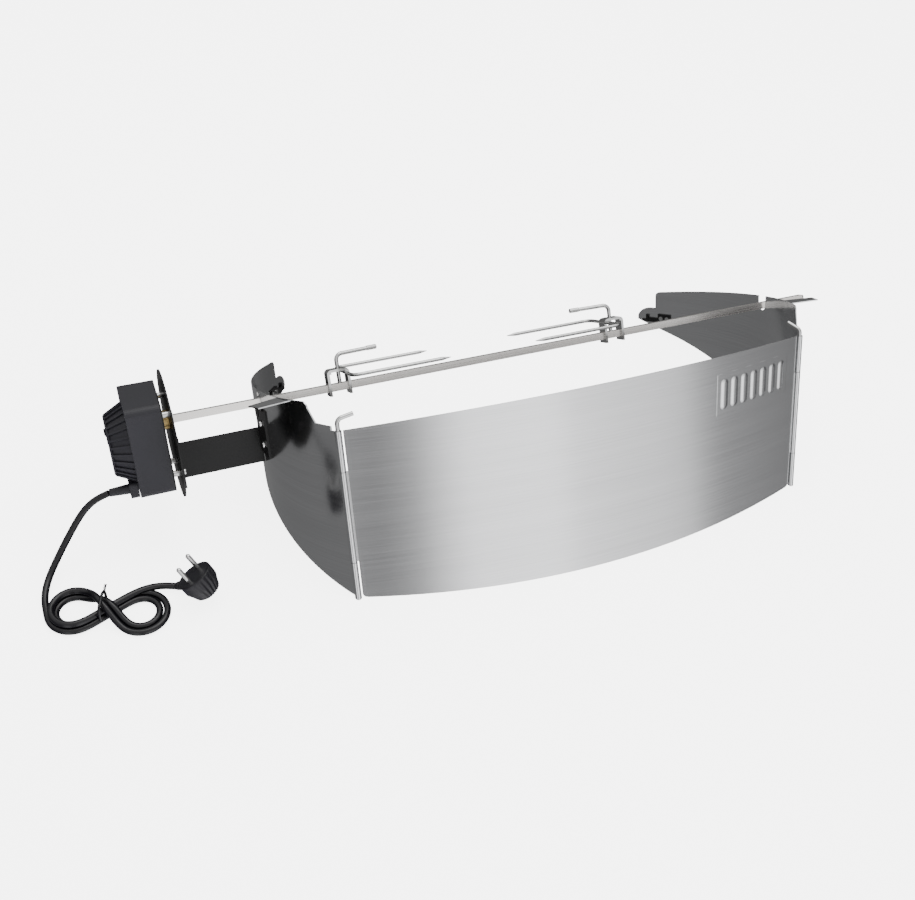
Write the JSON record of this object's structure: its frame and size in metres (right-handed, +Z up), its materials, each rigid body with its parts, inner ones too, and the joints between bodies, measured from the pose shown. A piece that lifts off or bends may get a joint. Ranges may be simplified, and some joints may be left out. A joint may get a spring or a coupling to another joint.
{
  "type": "rotisserie oven",
  "caption": "Barbecue rotisserie kit: an open-backed steel wind shroud, a square spit with two forks, and a geared mains motor on a bracket with its cord and plug.",
  "frame": {"origin": "middle of the bounding box without the cord, on the ground that the panels' bottom edges stand on", "axes": "+X along the spit away from the motor, +Y from the front panel to the open back, +Z up"},
  "size_m": [0.9524, 0.3898, 0.1917],
  "materials": {
    "sheet_steel": "fine horizontal brushing",
    "spit_steel": "satin",
    "bright_steel": "polished",
    "black_paint": "satin",
    "motor_plastic": "fine matte",
    "switch_plastic": "gloss",
    "gear_brass": "cut",
    "motor_steel": "zinc plated",
    "coil_copper": "enamelled copper wire",
    "cord_rubber": "satin",
    "plug_rubber": "satin",
    "pin_metal": "nickel plated"
  },
  "bodies": {
    "shroud": {"front_panel": "sheet_steel", "left_wing": "sheet_steel", "left_rear_hook": "black_paint", "left_hook_rivets": "bright_steel", "motor_case": "motor_plastic", "case_cover": "black_paint", "motor_cap": "motor_plastic", "heat_shield": "black_paint", "shield_spacers": "bright_steel", "cover_screws": "bright_steel", "motor_bracket": "black_paint", "bracket_screws": "bright_steel", "socket_bushes": "gear_brass", "idler_shaft": "bright_steel", "output_stub": "bright_steel", "gear_bridge": "motor_steel", "motor_can": "motor_steel", "motor_coil": "coil_copper", "switch_pin": "bright_steel", "cable_gland": "motor_plastic", "power_cord": "cord_rubber", "cord_hank": "cord_rubber", "cord_tie": "cord_rubber", "cord_lead": "cord_rubber", "plug_body": "plug_rubber", "plug_pins": "pin_metal"},
    "right_wing": {"right_wing": "sheet_steel", "right_rear_hook": "black_paint", "right_hook_rivets": "bright_steel"},
    "left_pin": {"left_hinge_pin": "bright_steel"},
    "right_pin": {"right_hinge_pin": "bright_steel"},
    "drive": {"drive_socket": "bright_steel", "output_gear": "gear_brass"},
    "idler": {"idler_gear": "gear_brass"},
    "rotor": {"rotor": "motor_steel", "rotor_shaft": "bright_steel", "rotor_pinion": "gear_brass"},
    "spit": {"spit_rod": "spit_steel"},
    "left_fork": {"left_fork_clamp": "bright_steel", "left_fork_prongs": "bright_steel"},
    "right_fork": {"right_fork_clamp": "bright_steel", "right_fork_prongs": "bright_steel"},
    "left_screw": {"left_fork_screw": "bright_steel"},
    "right_screw": {"right_fork_screw": "bright_steel"},
    "rocker": {"rocker_switch": "switch_plastic"}
  },
  "joints": [
    {"name": "right_wing_swing", "type": "hinge", "parent": "shroud", "child": "right_wing", "pos_m": [0.31935, -0.12055, 0.08321], "axis": [0, 0.3811, 0.9245], "range_deg": [-1.2, 1.2]},
    {"name": "left_pin_lift", "type": "slide", "parent": "shroud", "child": "left_pin", "axis": [0, 0.3811, 0.9245], "range_m": [0, 0.17]},
    {"name": "right_pin_lift", "type": "slide", "parent": "shroud", "child": "right_pin", "axis": [0, 0.3811, 0.9245], "range_m": [0, 0.17]},
    {"name": "drive_spin", "type": "hinge", "parent": "shroud", "child": "drive", "pos_m": [-0.37115, 0.03616, 0.11964], "axis": [1, 0, 0], "continuous": true},
    {"name": "idler_spin", "type": "hinge", "parent": "shroud", "child": "idler", "pos_m": [-0.39115, 0.01616, 0.11956], "axis": [1, 0, 0], "continuous": true},
    {"name": "rotor_spin", "type": "hinge", "parent": "shroud", "child": "rotor", "pos_m": [-0.40115, 0.03029, 0.1054], "axis": [1, 0, 0], "continuous": true},
    {"name": "spit_draw", "type": "slide", "parent": "drive", "child": "spit", "axis": [1, 0, 0], "range_m": [0, 0.028]},
    {"name": "left_fork_slide", "type": "slide", "parent": "spit", "child": "left_fork", "axis": [1, 0, 0], "range_m": [-0.02, 0.04]},
    {"name": "right_fork_slide", "type": "slide", "parent": "spit", "child": "right_fork", "axis": [1, 0, 0], "range_m": [-0.05, 0.12]},
    {"name": "left_screw_turn", "type": "hinge", "parent": "left_fork", "child": "left_screw", "pos_m": [-0.18215, 0.03616, 0.11964], "axis": [0, 0.5358, 0.8443], "continuous": true},
    {"name": "right_screw_turn", "type": "hinge", "parent": "right_fork", "child": "right_screw", "pos_m": [0.15185, 0.03616, 0.11964], "axis": [0, 0.5358, 0.8443], "continuous": true},
    {"name": "switch_rock", "type": "hinge", "parent": "shroud", "child": "rocker", "pos_m": [-0.42415, 0.0341, 0.11465], "axis": [0, 0.9245, -0.3811], "range_deg": [-6, 6]}
  ],
  "couplings": [
    {"joint": "idler_spin", "follows": "drive_spin", "ratio": -3},
    {"joint": "rotor_spin", "follows": "drive_spin", "ratio": 9}
  ]
}
